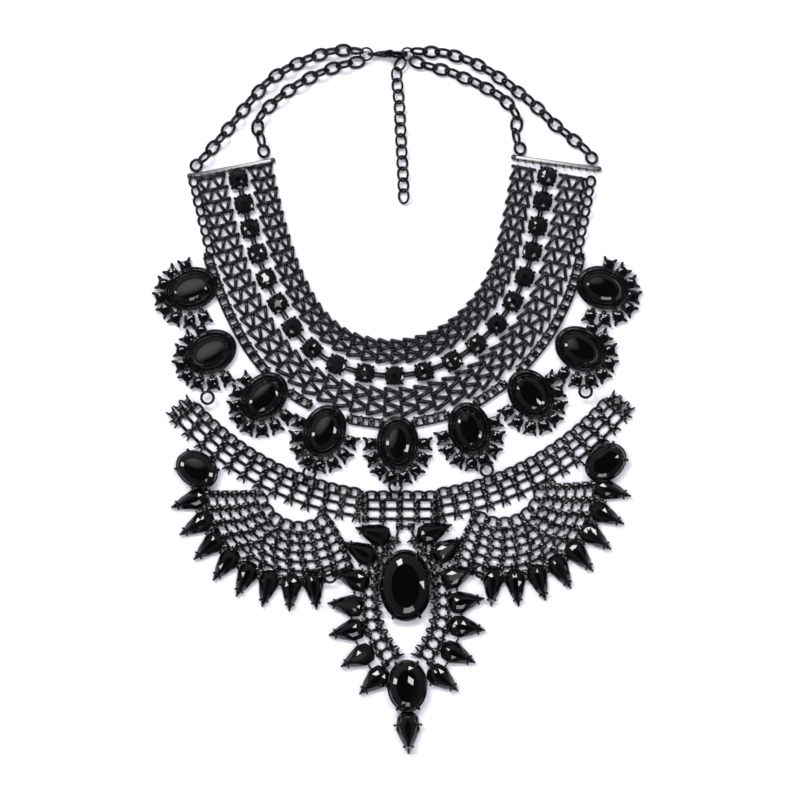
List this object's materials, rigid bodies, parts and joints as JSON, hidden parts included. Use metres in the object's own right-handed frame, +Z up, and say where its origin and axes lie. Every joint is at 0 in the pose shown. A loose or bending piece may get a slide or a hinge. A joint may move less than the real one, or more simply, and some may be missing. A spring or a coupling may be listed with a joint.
{
  "type": "bib necklace",
  "caption": "Lever-clasp bib necklace lying flat: linked mesh collar with oval medallions, a lower band, two side fans and a central pendant, all set with faceted stones.",
  "frame": {"origin": "on the surface it lies on, at the middle of the necklace's length and width", "axes": "+Y from the bottom drop to the clasp, +X to the side whose chains end at the clasp's end ring, +Z up out of the surface, towards the stones"},
  "size_m": [0.2165, 0.3187, 0.008],
  "materials": {
    "black_metal": "glossy black plating",
    "jet_glass": "polished opaque black glass"
  },
  "bodies": {
    "necklace": {"bar_left": "black_metal", "bar_right": "black_metal", "bottom_drop": "jet_glass", "chain_left_inner": "black_metal", "chain_left_outer": "black_metal", "chain_right_inner": "black_metal", "chain_right_outer": "black_metal", "clasp_body": "black_metal", "clasp_ring": "black_metal", "collar_stones": "jet_glass", "edge_chain_left": "black_metal", "edge_chain_right": "black_metal", "end_ring": "black_metal", "extension_chain": "black_metal", "fan_left": "black_metal", "fan_left_petals": "jet_glass", "fan_left_setting": "black_metal", "fan_left_stone": "jet_glass", "fan_right": "black_metal", "fan_right_petals": "jet_glass", "fan_right_setting": "black_metal", "fan_right_stone": "jet_glass", "hanger_ring_1": "black_metal", "hanger_ring_2": "black_metal", "hanger_ring_3": "black_metal", "hanger_ring_4": "black_metal", "hanger_ring_5": "black_metal", "hanger_ring_6": "black_metal", "hanger_ring_7": "black_metal", "low_setting": "black_metal", "low_stone": "jet_glass", "lower_band_centre": "black_metal", "lower_band_left": "black_metal", "lower_band_right": "black_metal", "medallion_setting_1": "black_metal", "medallion_setting_2": "black_metal", "medallion_setting_3": "black_metal", "medallion_setting_4": "black_metal", "medallion_setting_5": "black_metal", "medallion_setting_6": "black_metal", "medallion_setting_7": "black_metal", "medallion_setting_8": "black_metal", "medallion_setting_9": "black_metal", "medallion_stone_1": "jet_glass", "medallion_stone_2": "jet_glass", "medallion_stone_3": "jet_glass", "medallion_stone_4": "jet_glass", "medallion_stone_5": "jet_glass", "medallion_stone_6": "jet_glass", "medallion_stone_7": "jet_glass", "medallion_stone_8": "jet_glass", "medallion_stone_9": "jet_glass", "mesh_inner": "black_metal", "mesh_outer": "black_metal", "pendant_frame": "black_metal", "pendant_kites_left": "jet_glass", "pendant_kites_right": "jet_glass", "pendant_setting": "black_metal", "pendant_stone": "jet_glass"},
    "clasp_lever": {"clasp_lever": "black_metal"}
  },
  "joints": [
    {"name": "clasp_lever_hinge", "type": "hinge", "parent": "necklace", "child": "clasp_lever", "pos_m": [-0.0023, 0.155, 0.0056], "axis": [0, 1, 0], "range_deg": [0, 22], "stiffness_Nm_per_rad": 0.01, "springref_deg": -17.19}
  ]
}
